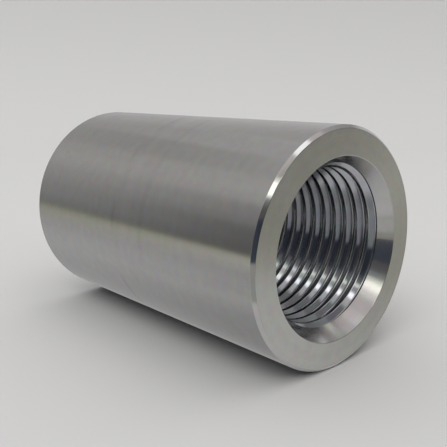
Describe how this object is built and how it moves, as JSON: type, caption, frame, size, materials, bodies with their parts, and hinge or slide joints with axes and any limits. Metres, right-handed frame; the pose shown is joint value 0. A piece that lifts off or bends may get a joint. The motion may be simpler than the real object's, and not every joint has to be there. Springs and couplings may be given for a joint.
{
  "type": "rebar coupler",
  "caption": "Round steel sleeve, threaded right through with a countersunk mouth at each end, that joins two threaded reinforcing bars end to end.",
  "frame": {"origin": "centre of the lower end face", "axes": "+Z along the sleeve and its thread, from the lower end face to the upper one"},
  "size_m": [0.05, 0.05, 0.08],
  "materials": {
    "turned_steel": "turned, plain, lightly oiled"
  },
  "bodies": {
    "root": {"sleeve": "turned_steel"}
  },
  "joints": []
}
